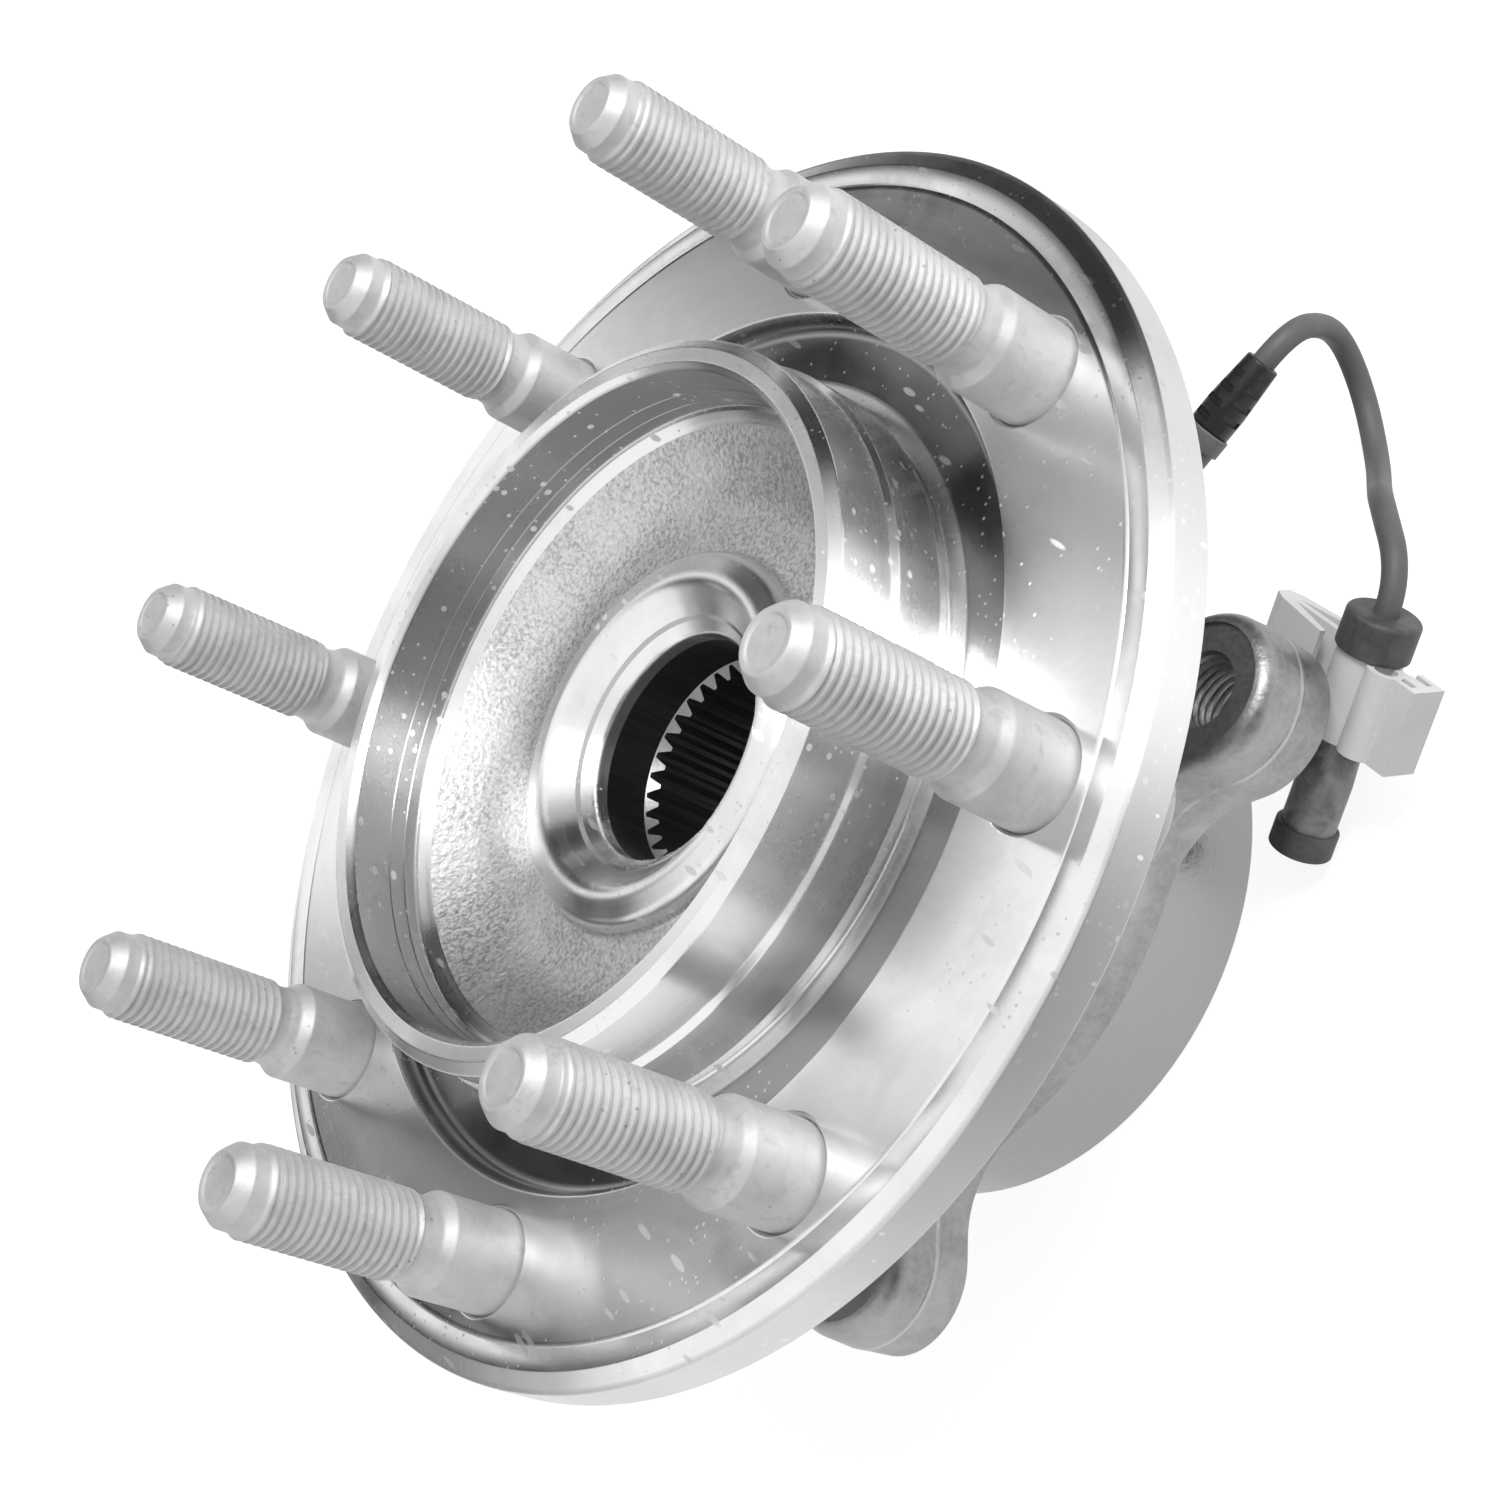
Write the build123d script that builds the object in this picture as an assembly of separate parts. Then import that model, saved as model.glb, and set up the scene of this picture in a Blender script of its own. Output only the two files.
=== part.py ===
from build123d import *
import math
import os

# Wheel hub bearing: a flanged spindle on two rows of tapered rollers, with a speed sensor lead.
# Millimetres. The hub turns about Z. The wheel seats on the plane Z = 0 and lies towards +Z.
# The knuckle lies towards -Z, so heights below the wheel face are negative.

# Wheel flange
flange_edge_margin = 17.15
flange_thickness = 12.0
flange_chamfer_width = 3.1
flange_chamfer_drop = 1.5
flange_back_chamfer = 3.7
face_inner_margin = 11.05
face_edge_width = 0.3
recess_depth = 3.5
recess_slope_width = 0.7
recess_rounding = 2.0

# Wheel studs
wheel_pcd = 165.1
stud_count = 8
stud_radius = 7.0
stud_knurl_radius = 7.95
stud_projection = 47.8
stud_collar_height = 12.0
stud_neck_length = 4.0
stud_neck_depth = 0.5
stud_lead_length = 3.4
stud_lead_depth = 0.8
stud_tip_radius = 5.2
stud_tip_chamfer = 1.6
stud_head_radius = 10.5
stud_head_thickness = 5.0
stud_hole_chamfer = 0.6
stud_head_rounding = 1.0
stud_edge_rounding = 0.4

# Pilot ring that centres the wheel and the brake disc
wheel_pilot_radius = 58.35
pilot_height = 19.4
pilot_wall = 5.2
pilot_rim_chamfer = 1.2
pilot_rim_width = 1.8
pilot_root_rounding = 1.0
brake_pilot_step = 0.9
brake_pilot_height = 8.0
relief_depth = 0.8
relief_width = 2.6
relief_rounding = 0.8

# Dished plate and nose inside the pilot ring
plate_outer_height = 5.7
plate_inner_height = -1.2
plate_low_share = 0.45
plate_low_rounding = 14.0
plate_edge_width = 1.0
plate_edge_rounding = 1.5
plate_step = 0.8
plate_step_rounding = 0.5
nose_radius = 30.5
nose_crest_radius = 25.5
nose_crest_height = 3.0
nose_crest_rounding = 3.0
nose_side = 2.6
nose_edge_rounding = 2.0
nose_foot_width = 0.6
nose_foot_rounding = 0.8
bore_mouth_depth = 2.8
bore_mouth_rounding = 1.2

# Splined bore
spline_teeth = 33
spline_root_radius = 18.2
spline_tooth_height = 1.5
spline_start_depth = 13.0
spline_flank_angle = 30.0
spline_cut_margin = 0.5
lead_bore_clearance = 0.2
exit_bore_clearance = 0.9
exit_bore_length = 6.0

# Spindle and its rolled end
spindle_radius = 27.5
spindle_root_fillet = 2.5
cone_face_depth = 20.5
rolled_lip_thickness = 3.2
rolled_lip_height = 5.7
rolled_lip_slope = 1.0
rolled_lip_rounding = 1.0

# Bearing rows
pitch_radius = 38.0
roller_tilt = 15.0
roller_radius = 4.5
roller_length = 14.6
roller_count = 20
roller_clearance = 0.04
roller_rounding = 0.5
cone_rib_width = 1.9
cone_rib_height = 1.4
cone_lip_width = 2.6
cone_lip_height = 0.7
rib_clearance = 0.15
inboard_cone_extension = 4.4
cup_overrun = 1.0

# Cages
cage_thickness = 1.3
cage_rise = 1.7
cage_rim = 2.0
cage_hook_gap = 0.6
pocket_clearance = 0.2

# Spacer and toothed ring between the rows
spacer_length = 12.0
spacer_wall = 3.5
tone_gap = 1.3
tone_teeth = 48
tone_tooth_depth = 2.4
tone_ring_width = 8.0

# Bearing housing
housing_gap = 2.0
housing_wall = 9.4
seal_shoulder = 1.9
knuckle_face_depth = 57.7
knuckle_pilot_radius = 50.7
knuckle_pilot_length = 23.5
undercut_depth = 0.8
undercut_width = 2.5
knuckle_flange_thickness = 16.0
knuckle_flange_radius = 57.5
knuckle_bolt_circle = 142.0
lobe_count = 4
lobe_radius = 12.8
lobe_draft = 4.0
lobe_fillet = 16.0
knuckle_hole_radius = 6.0
spotface_radius = 10.3
spotface_depth = 0.8
edge_chamfer = 1.0
forging_rounding = 3.0
core_overlap = 4.0

# Seals
seal_width = 4.8
seal_recess = 0.8
seal_sheet = 0.9
slinger_sheet = 0.8
slinger_gap = 0.5
seal_rounding = 0.4
seal_end_gap = 0.2
lip_clearance = 0.05
lip_thickness = 1.4
lip_seat_width = 4.2
lip_web_height = 2.2
radial_lip_height = 2.5
radial_lip_edge = 0.5
axial_lip_reach = 3.1
axial_lip_edge = 0.7

# Speed sensor, which points at the toothed ring
sensor_angle = -11.5
sensor_barrel_radius = 5.4
sensor_bore_clearance = 0.1
sensor_air_gap = 0.9
sensor_tip_radius = 4.0
sensor_tip_length = 4.0
sensor_tip_rounding = 0.4
sensor_tip_taper = 1.0
sensor_pad_rise = 6.0
sensor_pad_overlap = 4.0
sensor_pad_margin = 1.0
sensor_pad_half_height = 8.6
ear_thickness = 5.0
ear_reach = 14.5
ear_radius = 6.4
head_radius = 7.6
head_height = 7.0
head_rounding = 1.2
stem_radius = 3.3
stem_reach = 23.0
stem_root_rounding = 1.0
stem_collar_rise = 0.5
stem_collar_length = 3.0
stem_collar_rounding = 0.3
o_ring_section = 1.6
o_ring_groove_width = 1.9
o_ring_distance = 6.0
screw_radius = 2.5
screw_clearance = 0.2
screw_head_radius = 4.4
screw_head_height = 4.0
screw_head_rounding = 0.5
screw_depth = 9.0
screw_socket_radius = 2.2
screw_socket_depth = 2.4
screw_end_gap = 0.5

# Boot and lead
cable_radius = 1.95
boot_length = 13.0
boot_base_radius = 3.4
boot_tip_radius = 2.8
boot_rounding = 0.4
slot_faces = 4
slot_rows = 4
slot_pitch = 2.7
slot_width = 1.1
slot_depth = 0.7
slot_length = 3.4

# Connector on the free end of the lead, lying on its lower end
connector_length = 40.3
connector_top_radius = 3.9
connector_bottom_radius = 4.3
connector_skirt_length = 12.4
connector_shoulder_gap = 2.0
connector_tilt = 23.0
connector_turn = -6.0
connector_foot_x = 36.3
connector_foot_y = -51.8
connector_floor_gap = 0.3
cap_radius = 5.8
cap_height = 6.2
cap_rounding = 0.8
collar_radius = 5.0
collar_length = 4.4
collar_rounding = 0.4
socket_radius = 3.1
socket_depth = 8.5
terminal_radius = 0.6
terminal_length = 6.5
terminal_spacing = 2.6

# Plastic clip round the connector
clip_length = 14.0
clip_wall = 1.1
clip_clearance = 0.1
wing_angle = 8.0
wing_reach = 20.0
wing_neck = 7.0
wing_half_height = 4.2
wing_web = 1.2
wing_arm = 1.1
hook_angle = 188.0
hook_reach = 12.5
hook_half_height = 3.2
hook_length = 5.0
boss_radius = 2.9
boss_angle = 165.0

# Corners of the lead's route between its straight ends
lead_bend_share = 0.45
lead_start_run = 8.0
lead_end_run = 7.1
lead_corners = [
    (107.5, -20.8, -53.5),
    (103.9, -16.2, -65.0),
    (99.3, -17.8, -70.9),
    (93.0, -24.3, -73.3),
    (89.0, -34.2, -66.9),
    (91.2, -45.8, -53.2),
]

# Heights and radii that follow from the sizes above
flange_radius = wheel_pcd / 2 + flange_edge_margin
face_inner_radius = wheel_pcd / 2 - face_inner_margin
flange_back = -flange_thickness
tilt = math.radians(roller_tilt)
taper = math.atan(roller_radius * math.sin(tilt) / pitch_radius)
roller_half_rise = roller_length / 2 * math.cos(tilt)
roller_end_lean = roller_radius * math.sin(tilt)
cone_top = -cone_face_depth
row_height = cone_top - cone_rib_width - rib_clearance - roller_end_lean - roller_half_rise
cone_bottom = row_height - roller_half_rise - cone_lip_width
middle_height = cone_bottom - spacer_length / 2
apex_height = row_height - pitch_radius / math.tan(tilt)
apex_distance = pitch_radius / math.sin(tilt)
near_end = apex_distance - roller_length / 2
far_end = apex_distance + roller_length / 2
rolled_top = 2 * middle_height - cone_top - inboard_cone_extension
spindle_end = rolled_top - rolled_lip_thickness
housing_top = flange_back - housing_gap
housing_bottom = -knuckle_face_depth - knuckle_pilot_length
flange_top = -knuckle_face_depth + knuckle_flange_thickness
pilot_inner_radius = wheel_pilot_radius - pilot_wall
spline_tip_radius = spline_root_radius - spline_tooth_height
lead_bore_radius = spline_root_radius + lead_bore_clearance
exit_bore_radius = spline_root_radius + exit_bore_clearance


def row_point(distance, offset):
    """Radius and height of a point of the outboard row.

    distance runs along the rollers' centre line from its apex, and offset stands off it outwards.
    """
    radius = distance * math.sin(tilt) + offset * math.cos(tilt)
    height = apex_height + distance * math.cos(tilt) - offset * math.sin(tilt)
    return radius, height


def raceway(distance, rise=0.0):
    """Point on the inner raceway, or standing off it by rise."""
    return row_point(distance, rise - distance * math.tan(taper))


cup_end_radius, cup_end_height = row_point(far_end + cup_overrun, (far_end + cup_overrun) * math.tan(taper))
land_radius, land_top = row_point(near_end - cup_overrun, (near_end - cup_overrun) * math.tan(taper))
seal_bore_radius = cup_end_radius + seal_shoulder
tone_ring_radius = land_radius - tone_gap
sensor_tip_distance = tone_ring_radius + sensor_air_gap
housing_radius = seal_bore_radius + housing_wall
sensor_pad_radius = housing_radius + sensor_pad_rise
stem_end_radius = sensor_pad_radius + stem_reach
seal_land_radius = raceway(far_end + rib_clearance, cone_rib_height)[0]
cone_lip_radius = raceway(near_end - rib_clearance, cone_lip_height)[0]


def turned(*corners):
    """A solid of revolution about Z from (radius, height) or (radius, height, rounding) corners."""
    points = [(corner[0], 0, corner[1]) for corner in corners]
    roundings = [corner[2] if len(corner) > 2 else 0 for corner in corners]
    outline = FilletPolyline(*points, radius=roundings, close=True)
    return revolve(make_face(outline), axis=Axis.Z)


def mirrored(solid):
    """The same piece for the inboard row, mirrored in the middle plane between the rows."""
    return mirror(solid, about=Plane((0, 0, middle_height), z_dir=(0, 0, 1)))


def save(name, *solids):
    """Write one node."""
    shape = solids[0] if len(solids) == 1 else Compound(children=list(solids))
    export_step(shape, f"parts/{name}.step")


def spline_space():
    """Outline of one space between two spline teeth, along +X."""
    pitch_line = spline_root_radius - spline_tooth_height / 2
    half_space = math.pi * pitch_line / spline_teeth / 2
    spread = math.tan(math.radians(spline_flank_angle))
    inner = spline_tip_radius - spline_cut_margin
    inner_half = half_space + (pitch_line - inner) * spread
    root_half = half_space - (spline_root_radius - pitch_line) * spread
    corners = [(inner, -inner_half), (spline_root_radius, -root_half)]
    corners += [(spline_root_radius, root_half), (inner, inner_half)]
    return make_face(Polyline(*corners, close=True))


def hub_spindle():
    """Forged and turned hub: wheel flange, pilot ring, dished plate, nose, spindle and rolled end."""
    rim = pilot_height - pilot_rim_chamfer
    brake_pilot = wheel_pilot_radius + brake_pilot_step
    relief_radius = wheel_pilot_radius - relief_depth
    plate_radius = pilot_inner_radius - pilot_rim_chamfer
    back_edge = flange_radius - flange_back_chamfer
    plate_low = nose_radius + plate_low_share * (plate_radius - nose_radius)
    face_edge = face_inner_radius - face_edge_width
    lip_radius = spindle_radius + rolled_lip_height
    solid = turned(
        (spline_tip_radius, spindle_end),
        (spline_tip_radius, -spline_start_depth - spline_tooth_height),
        (lead_bore_radius, -spline_start_depth),
        (lead_bore_radius, -bore_mouth_depth, bore_mouth_rounding),
        (nose_crest_radius, nose_crest_height, nose_crest_rounding),
        (nose_radius, nose_crest_height - nose_side / 2, nose_edge_rounding),
        (nose_radius + nose_foot_width, plate_inner_height, nose_foot_rounding),
        (plate_low, plate_inner_height, plate_low_rounding),
        (plate_radius - plate_edge_width, plate_outer_height, plate_edge_rounding),
        (plate_radius, plate_outer_height + plate_step, plate_step_rounding),
        (pilot_inner_radius, plate_outer_height + plate_step, pilot_root_rounding),
        (pilot_inner_radius, rim),
        (pilot_inner_radius + pilot_rim_chamfer, pilot_height),
        (wheel_pilot_radius - pilot_rim_width, pilot_height),
        (wheel_pilot_radius, rim),
        (wheel_pilot_radius, brake_pilot_height + brake_pilot_step),
        (brake_pilot, brake_pilot_height),
        (brake_pilot, 0.0),
        (relief_radius, -relief_depth),
        (relief_radius, -recess_depth, relief_rounding),
        (brake_pilot + relief_width, -recess_depth),
        (face_edge - recess_slope_width, -recess_depth, recess_rounding),
        (face_edge, 0.0),
        (flange_radius - flange_chamfer_width, 0.0),
        (flange_radius, -flange_chamfer_drop),
        (flange_radius, flange_back + flange_back_chamfer),
        (back_edge, flange_back),
        (seal_land_radius, flange_back, spindle_root_fillet),
        (seal_land_radius, cone_top),
        (spindle_radius, cone_top),
        (spindle_radius, rolled_top),
        (lip_radius, rolled_top, rolled_lip_rounding),
        (lip_radius - rolled_lip_slope, spindle_end, rolled_lip_rounding),
    )
    spline_length = -spline_start_depth - spindle_end
    space = extrude(Plane.XY.offset(spindle_end) * spline_space(), spline_length)
    solid -= [location * space for location in PolarLocations(0, spline_teeth)]
    solid -= Pos(0, 0, spindle_end + exit_bore_length / 2) * Cylinder(exit_bore_radius, exit_bore_length)
    hole = turned(
        (0, flange_back),
        (stud_knurl_radius, flange_back),
        (stud_knurl_radius, -stud_hole_chamfer),
        (stud_knurl_radius + stud_hole_chamfer, 0),
        (0, 0),
    )
    solid -= [location * hole for location in stud_places()]
    return solid


def stud_places():
    """Places of the wheel studs, evenly about the axis and symmetric to X and Y."""
    return PolarLocations(wheel_pcd / 2, stud_count, start_angle=180 / stud_count)


def wheel_stud():
    """Pressed wheel stud with its head behind the flange. The thread is plain at its outer size."""
    lead_start = stud_projection - stud_tip_chamfer - stud_lead_length
    neck_radius = stud_radius - stud_neck_depth
    lead_radius = stud_radius - stud_lead_depth
    neck_start = stud_collar_height + stud_knurl_radius - neck_radius
    return turned(
        (0, flange_back - stud_head_thickness),
        (stud_head_radius, flange_back - stud_head_thickness, stud_head_rounding),
        (stud_head_radius, flange_back),
        (stud_knurl_radius, flange_back),
        (stud_knurl_radius, stud_collar_height, stud_edge_rounding),
        (neck_radius, neck_start),
        (neck_radius, neck_start + stud_neck_length - stud_neck_depth),
        (stud_radius, neck_start + stud_neck_length),
        (stud_radius, lead_start - stud_lead_depth),
        (lead_radius, lead_start),
        (lead_radius, stud_projection - stud_tip_chamfer, stud_edge_rounding),
        (stud_tip_radius, stud_projection),
        (0, stud_projection),
    )


def bearing_cone():
    """Inner ring of the outboard row: rib, raceway and small lip."""
    rib_face = far_end + rib_clearance
    lip_face = near_end - rib_clearance
    return turned(
        (spindle_radius, cone_top),
        (seal_land_radius, cone_top),
        raceway(rib_face, cone_rib_height),
        raceway(rib_face),
        raceway(lip_face),
        raceway(lip_face, cone_lip_height),
        (cone_lip_radius, cone_bottom),
        (spindle_radius, cone_bottom),
    )


def inboard_cone():
    """Inner ring of the inboard row, longer at its rib, where the seal runs."""
    land_middle = rolled_top + inboard_cone_extension / 2
    land = Pos(0, 0, land_middle) * Cylinder(seal_land_radius, inboard_cone_extension)
    land -= Pos(0, 0, land_middle) * Cylinder(spindle_radius, inboard_cone_extension)
    return mirrored(bearing_cone()) + land


def roller():
    """Tapered roller of the outboard row in its place on the XZ plane."""
    near_radius = near_end * math.tan(taper) - roller_clearance
    far_radius = far_end * math.tan(taper) - roller_clearance
    blank = turned(
        (0, near_end),
        (near_radius, near_end, roller_rounding),
        (far_radius, far_end, roller_rounding),
        (0, far_end),
    )
    return Pos(0, 0, apex_height) * Rot(0, roller_tilt, 0) * blank


def roller_row():
    """All rollers of the outboard row."""
    return [location * roller() for location in PolarLocations(0, roller_count)]


def cage():
    """Pressed steel cage of the outboard row: a tapered shell with a hooked rim and a pocket a roller."""
    inner = cage_rise - cage_thickness / 2
    outer = cage_rise + cage_thickness / 2
    start = near_end - cage_rim
    stop = far_end + cage_rim
    hook = (cone_lip_radius + cage_hook_gap - start * math.sin(tilt)) / math.cos(tilt)
    shell = turned(
        row_point(start, hook),
        row_point(start, outer),
        row_point(stop, outer),
        row_point(stop, inner),
        row_point(start + cage_thickness, inner),
        row_point(start + cage_thickness, hook),
    )
    width = 2 * (apex_distance * math.tan(taper) + pocket_clearance)
    length = roller_length + 2 * pocket_clearance
    pocket = Pos(2 * roller_radius, 0, apex_distance) * Box(4 * roller_radius, width, length)
    pocket = Pos(0, 0, apex_height) * Rot(0, roller_tilt, 0) * pocket
    return shell - [location * pocket for location in PolarLocations(0, roller_count)]


def cone_spacer():
    """Plain sleeve that holds the two inner rings apart and carries the toothed ring."""
    outer = spindle_radius + spacer_wall
    sleeve = Pos(0, 0, middle_height) * Cylinder(outer, spacer_length)
    return sleeve - Pos(0, 0, middle_height) * Cylinder(spindle_radius, spacer_length)


def tone_ring():
    """Toothed ring that the speed sensor reads."""
    ring = Circle(tone_ring_radius) - Circle(spindle_radius + spacer_wall)
    gap_width = math.pi * tone_ring_radius / tone_teeth
    gap = Pos(tone_ring_radius, 0) * Rectangle(2 * tone_tooth_depth, gap_width)
    ring -= [location * gap for location in PolarLocations(0, tone_teeth)]
    return extrude(Plane.XY.offset(middle_height - tone_ring_width / 2) * ring, tone_ring_width)


def seal_case(face):
    """Steel ring of the outboard seal, pressed into the housing. face is its outer height."""
    back = face - seal_width
    sheet_inner = seal_bore_radius - seal_sheet
    lip_seat = seal_land_radius + slinger_sheet + lip_clearance + lip_seat_width
    return turned(
        (seal_bore_radius, face, seal_rounding),
        (seal_bore_radius, back, seal_rounding),
        (lip_seat, back),
        (lip_seat, back + seal_sheet),
        (sheet_inner, back + seal_sheet, seal_rounding),
        (sheet_inner, face),
    )


def seal_lip(face):
    """Rubber of the outboard seal: a radial lip on the slinger's sleeve and an axial lip on its disc."""
    back = face - seal_width
    running = seal_land_radius + slinger_sheet + lip_clearance
    seat = running + lip_seat_width
    disc = face - slinger_sheet - lip_clearance
    return turned(
        (seat, back),
        (seat, back + seal_sheet),
        (seat + lip_thickness, back + seal_sheet),
        (seat + axial_lip_reach, disc),
        (seat + axial_lip_reach - axial_lip_edge, disc),
        (seat - axial_lip_edge, back + lip_web_height),
        (running, back + radial_lip_height),
        (running, back + radial_lip_height - radial_lip_edge),
        (seat - lip_thickness, back),
    )


def slinger(face):
    """Steel ring that turns with the hub and throws water off in front of the seal."""
    sleeve_outer = seal_land_radius + slinger_sheet
    disc_edge = seal_bore_radius - seal_sheet - slinger_gap
    return turned(
        (seal_land_radius, face),
        (disc_edge, face),
        (disc_edge, face - slinger_sheet),
        (sleeve_outer, face - slinger_sheet),
        (sleeve_outer, face - seal_width),
        (seal_land_radius, face - seal_width),
    )


def sensor_plane():
    """Plane about the sensor's axis: Z outwards along it, X along the housing and Y up."""
    angle = math.radians(sensor_angle)
    outwards = (math.cos(angle), math.sin(angle), 0)
    along = (-math.sin(angle), math.cos(angle), 0)
    return Plane(origin=(0, 0, middle_height), x_dir=along, z_dir=outwards)


def knuckle_flange():
    """Forged flange with a lobe at each knuckle bolt, drafted both ways from its parting line."""
    plan = Circle(knuckle_flange_radius)
    bolt_radius = knuckle_bolt_circle / 2
    for location in PolarLocations(0, lobe_count, start_angle=180 / lobe_count):
        plan += location * Pos(bolt_radius / 2, 0) * Rectangle(bolt_radius, 2 * lobe_radius)
        plan += location * Pos(bolt_radius, 0) * Circle(lobe_radius)
    roots = [v for v in plan.vertices() if math.hypot(v.X, v.Y) < knuckle_flange_radius + 0.01]
    plan = fillet(roots, lobe_fillet)
    half = knuckle_flange_thickness / 2
    blank = extrude(plan, half, taper=lobe_draft)
    rim = blank.edges().group_by(Axis.Z)[-1]
    upper = fillet(rim, forging_rounding)
    lower = mirror(chamfer(rim, edge_chamfer), about=Plane.XY)
    return Pos(0, 0, flange_top - half) * (upper + lower)


def bearing_housing():
    """Forged housing with both outer raceways, four lobes, a sensor pad and the knuckle pilot."""
    groove_radius = knuckle_pilot_radius - undercut_depth
    groove_bottom = -knuckle_face_depth - undercut_width
    other_height = 2 * middle_height
    solid = turned(
        (seal_bore_radius, housing_top),
        (housing_radius, housing_top, edge_chamfer),
        (housing_radius, flange_top),
        (housing_radius, -knuckle_face_depth),
        (groove_radius, -knuckle_face_depth),
        (groove_radius, groove_bottom),
        (knuckle_pilot_radius, groove_bottom - undercut_depth),
        (knuckle_pilot_radius, housing_bottom + edge_chamfer),
        (knuckle_pilot_radius - edge_chamfer, housing_bottom),
        (seal_bore_radius, housing_bottom),
        (seal_bore_radius, other_height - cup_end_height),
        (cup_end_radius, other_height - cup_end_height),
        (land_radius, other_height - land_top),
        (land_radius, land_top),
        (cup_end_radius, cup_end_height),
        (seal_bore_radius, cup_end_height),
    )
    core = Pos(0, 0, middle_height) * Cylinder(seal_bore_radius + core_overlap, -2 * housing_bottom)
    solid += knuckle_flange() - core
    plane = sensor_plane()
    pad_depth = sensor_pad_rise + sensor_pad_overlap
    pad_width = ear_reach + ear_radius + head_radius + 2 * sensor_pad_margin
    pad_centre = (ear_reach + ear_radius - head_radius) / 2
    pad = Pos(pad_centre, 0, sensor_pad_radius - pad_depth / 2) * Box(pad_width, 2 * sensor_pad_half_height, pad_depth)
    solid += plane * pad
    bore_radius = sensor_barrel_radius + sensor_bore_clearance
    solid -= plane * Pos(0, 0, sensor_pad_radius / 2) * Cylinder(bore_radius, sensor_pad_radius)
    screw_bore = Pos(ear_reach, 0, sensor_pad_radius - screw_depth / 2) * Cylinder(screw_radius, screw_depth)
    solid -= plane * screw_bore
    hole = Pos(0, 0, flange_top - knuckle_flange_thickness / 2)
    hole *= Cylinder(knuckle_hole_radius, 2 * knuckle_flange_thickness)
    face = Pos(0, 0, flange_top) * Cylinder(spotface_radius, 2 * spotface_depth)
    places = PolarLocations(knuckle_bolt_circle / 2, lobe_count, start_angle=180 / lobe_count)
    solid -= [location * tool for location in places for tool in (hole, face)]
    return solid


def sensor_body():
    """Moulded sensor: tip, barrel with its ring groove, fixing ear, head and stem."""
    groove_radius = sensor_barrel_radius + sensor_bore_clearance - o_ring_section
    groove_top = sensor_pad_radius - o_ring_distance + o_ring_groove_width / 2
    groove_bottom = groove_top - o_ring_groove_width
    barrel_start = sensor_tip_distance + sensor_tip_length
    head_top = sensor_pad_radius + head_height
    solid = turned(
        (0, sensor_tip_distance),
        (sensor_tip_radius, sensor_tip_distance, sensor_tip_rounding),
        (sensor_tip_radius, barrel_start),
        (sensor_barrel_radius, barrel_start + sensor_tip_taper),
        (sensor_barrel_radius, groove_bottom),
        (groove_radius, groove_bottom),
        (groove_radius, groove_top),
        (sensor_barrel_radius, groove_top),
        (sensor_barrel_radius, sensor_pad_radius),
        (head_radius, sensor_pad_radius),
        (head_radius, head_top, head_rounding),
        (stem_radius, head_top, stem_root_rounding),
        (stem_radius, stem_end_radius - stem_collar_length),
        (stem_radius + stem_collar_rise, stem_end_radius - stem_collar_length),
        (stem_radius + stem_collar_rise, stem_end_radius, stem_collar_rounding),
        (0, stem_end_radius),
    )
    ear = Pos(ear_reach, 0) * Circle(ear_radius)
    ear += Pos(ear_reach / 2, 0) * Rectangle(ear_reach, 2 * ear_radius)
    ear -= Circle(sensor_barrel_radius)
    ear -= Pos(ear_reach, 0) * Circle(screw_radius + screw_clearance)
    solid += extrude(Plane.XY.offset(sensor_pad_radius) * ear, ear_thickness)
    return sensor_plane() * solid


def sensor_o_ring():
    """Rubber ring in the barrel's groove."""
    ring = Torus(sensor_barrel_radius + sensor_bore_clearance - o_ring_section / 2, o_ring_section / 2)
    return sensor_plane() * Pos(0, 0, sensor_pad_radius - o_ring_distance) * ring


def sensor_screw():
    """Socket-head screw through the sensor's ear."""
    seat = sensor_pad_radius + ear_thickness
    solid = turned(
        (0, sensor_pad_radius - screw_depth + screw_end_gap),
        (screw_radius, sensor_pad_radius - screw_depth + screw_end_gap, edge_chamfer / 2),
        (screw_radius, seat),
        (screw_head_radius, seat),
        (screw_head_radius, seat + screw_head_height, screw_head_rounding),
        (0, seat + screw_head_height),
    )
    hexagon = RegularPolygon(screw_socket_radius, 6)
    socket = extrude(Plane.XY.offset(seat + screw_head_height) * hexagon, -screw_socket_depth)
    return sensor_plane() * Pos(ear_reach, 0, 0) * (solid - socket)


def boot_end():
    """Distance from the hub's axis to the free end of the boot."""
    return stem_end_radius + boot_length


def strain_relief_boot():
    """Rubber boot where the lead leaves the stem, with rows of slots that let it bend."""
    solid = turned(
        (0, stem_end_radius),
        (boot_base_radius, stem_end_radius, boot_rounding),
        (boot_base_radius, stem_end_radius + boot_length / 3),
        (boot_tip_radius, boot_end(), boot_rounding),
        (0, boot_end()),
    )
    slots = []
    for row in range(slot_rows):
        height = stem_end_radius + boot_length / 2 + (row - (slot_rows - 1) / 2) * slot_pitch
        for side in range(slot_faces):
            stagger = slot_pitch / 4 * (-1) ** side
            cutter = Pos(boot_base_radius, 0, height + stagger) * Box(2 * slot_depth, slot_length, slot_width)
            slots.append(Rot(0, 0, 360 * side / slot_faces) * cutter)
    return sensor_plane() * (solid - slots)


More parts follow.
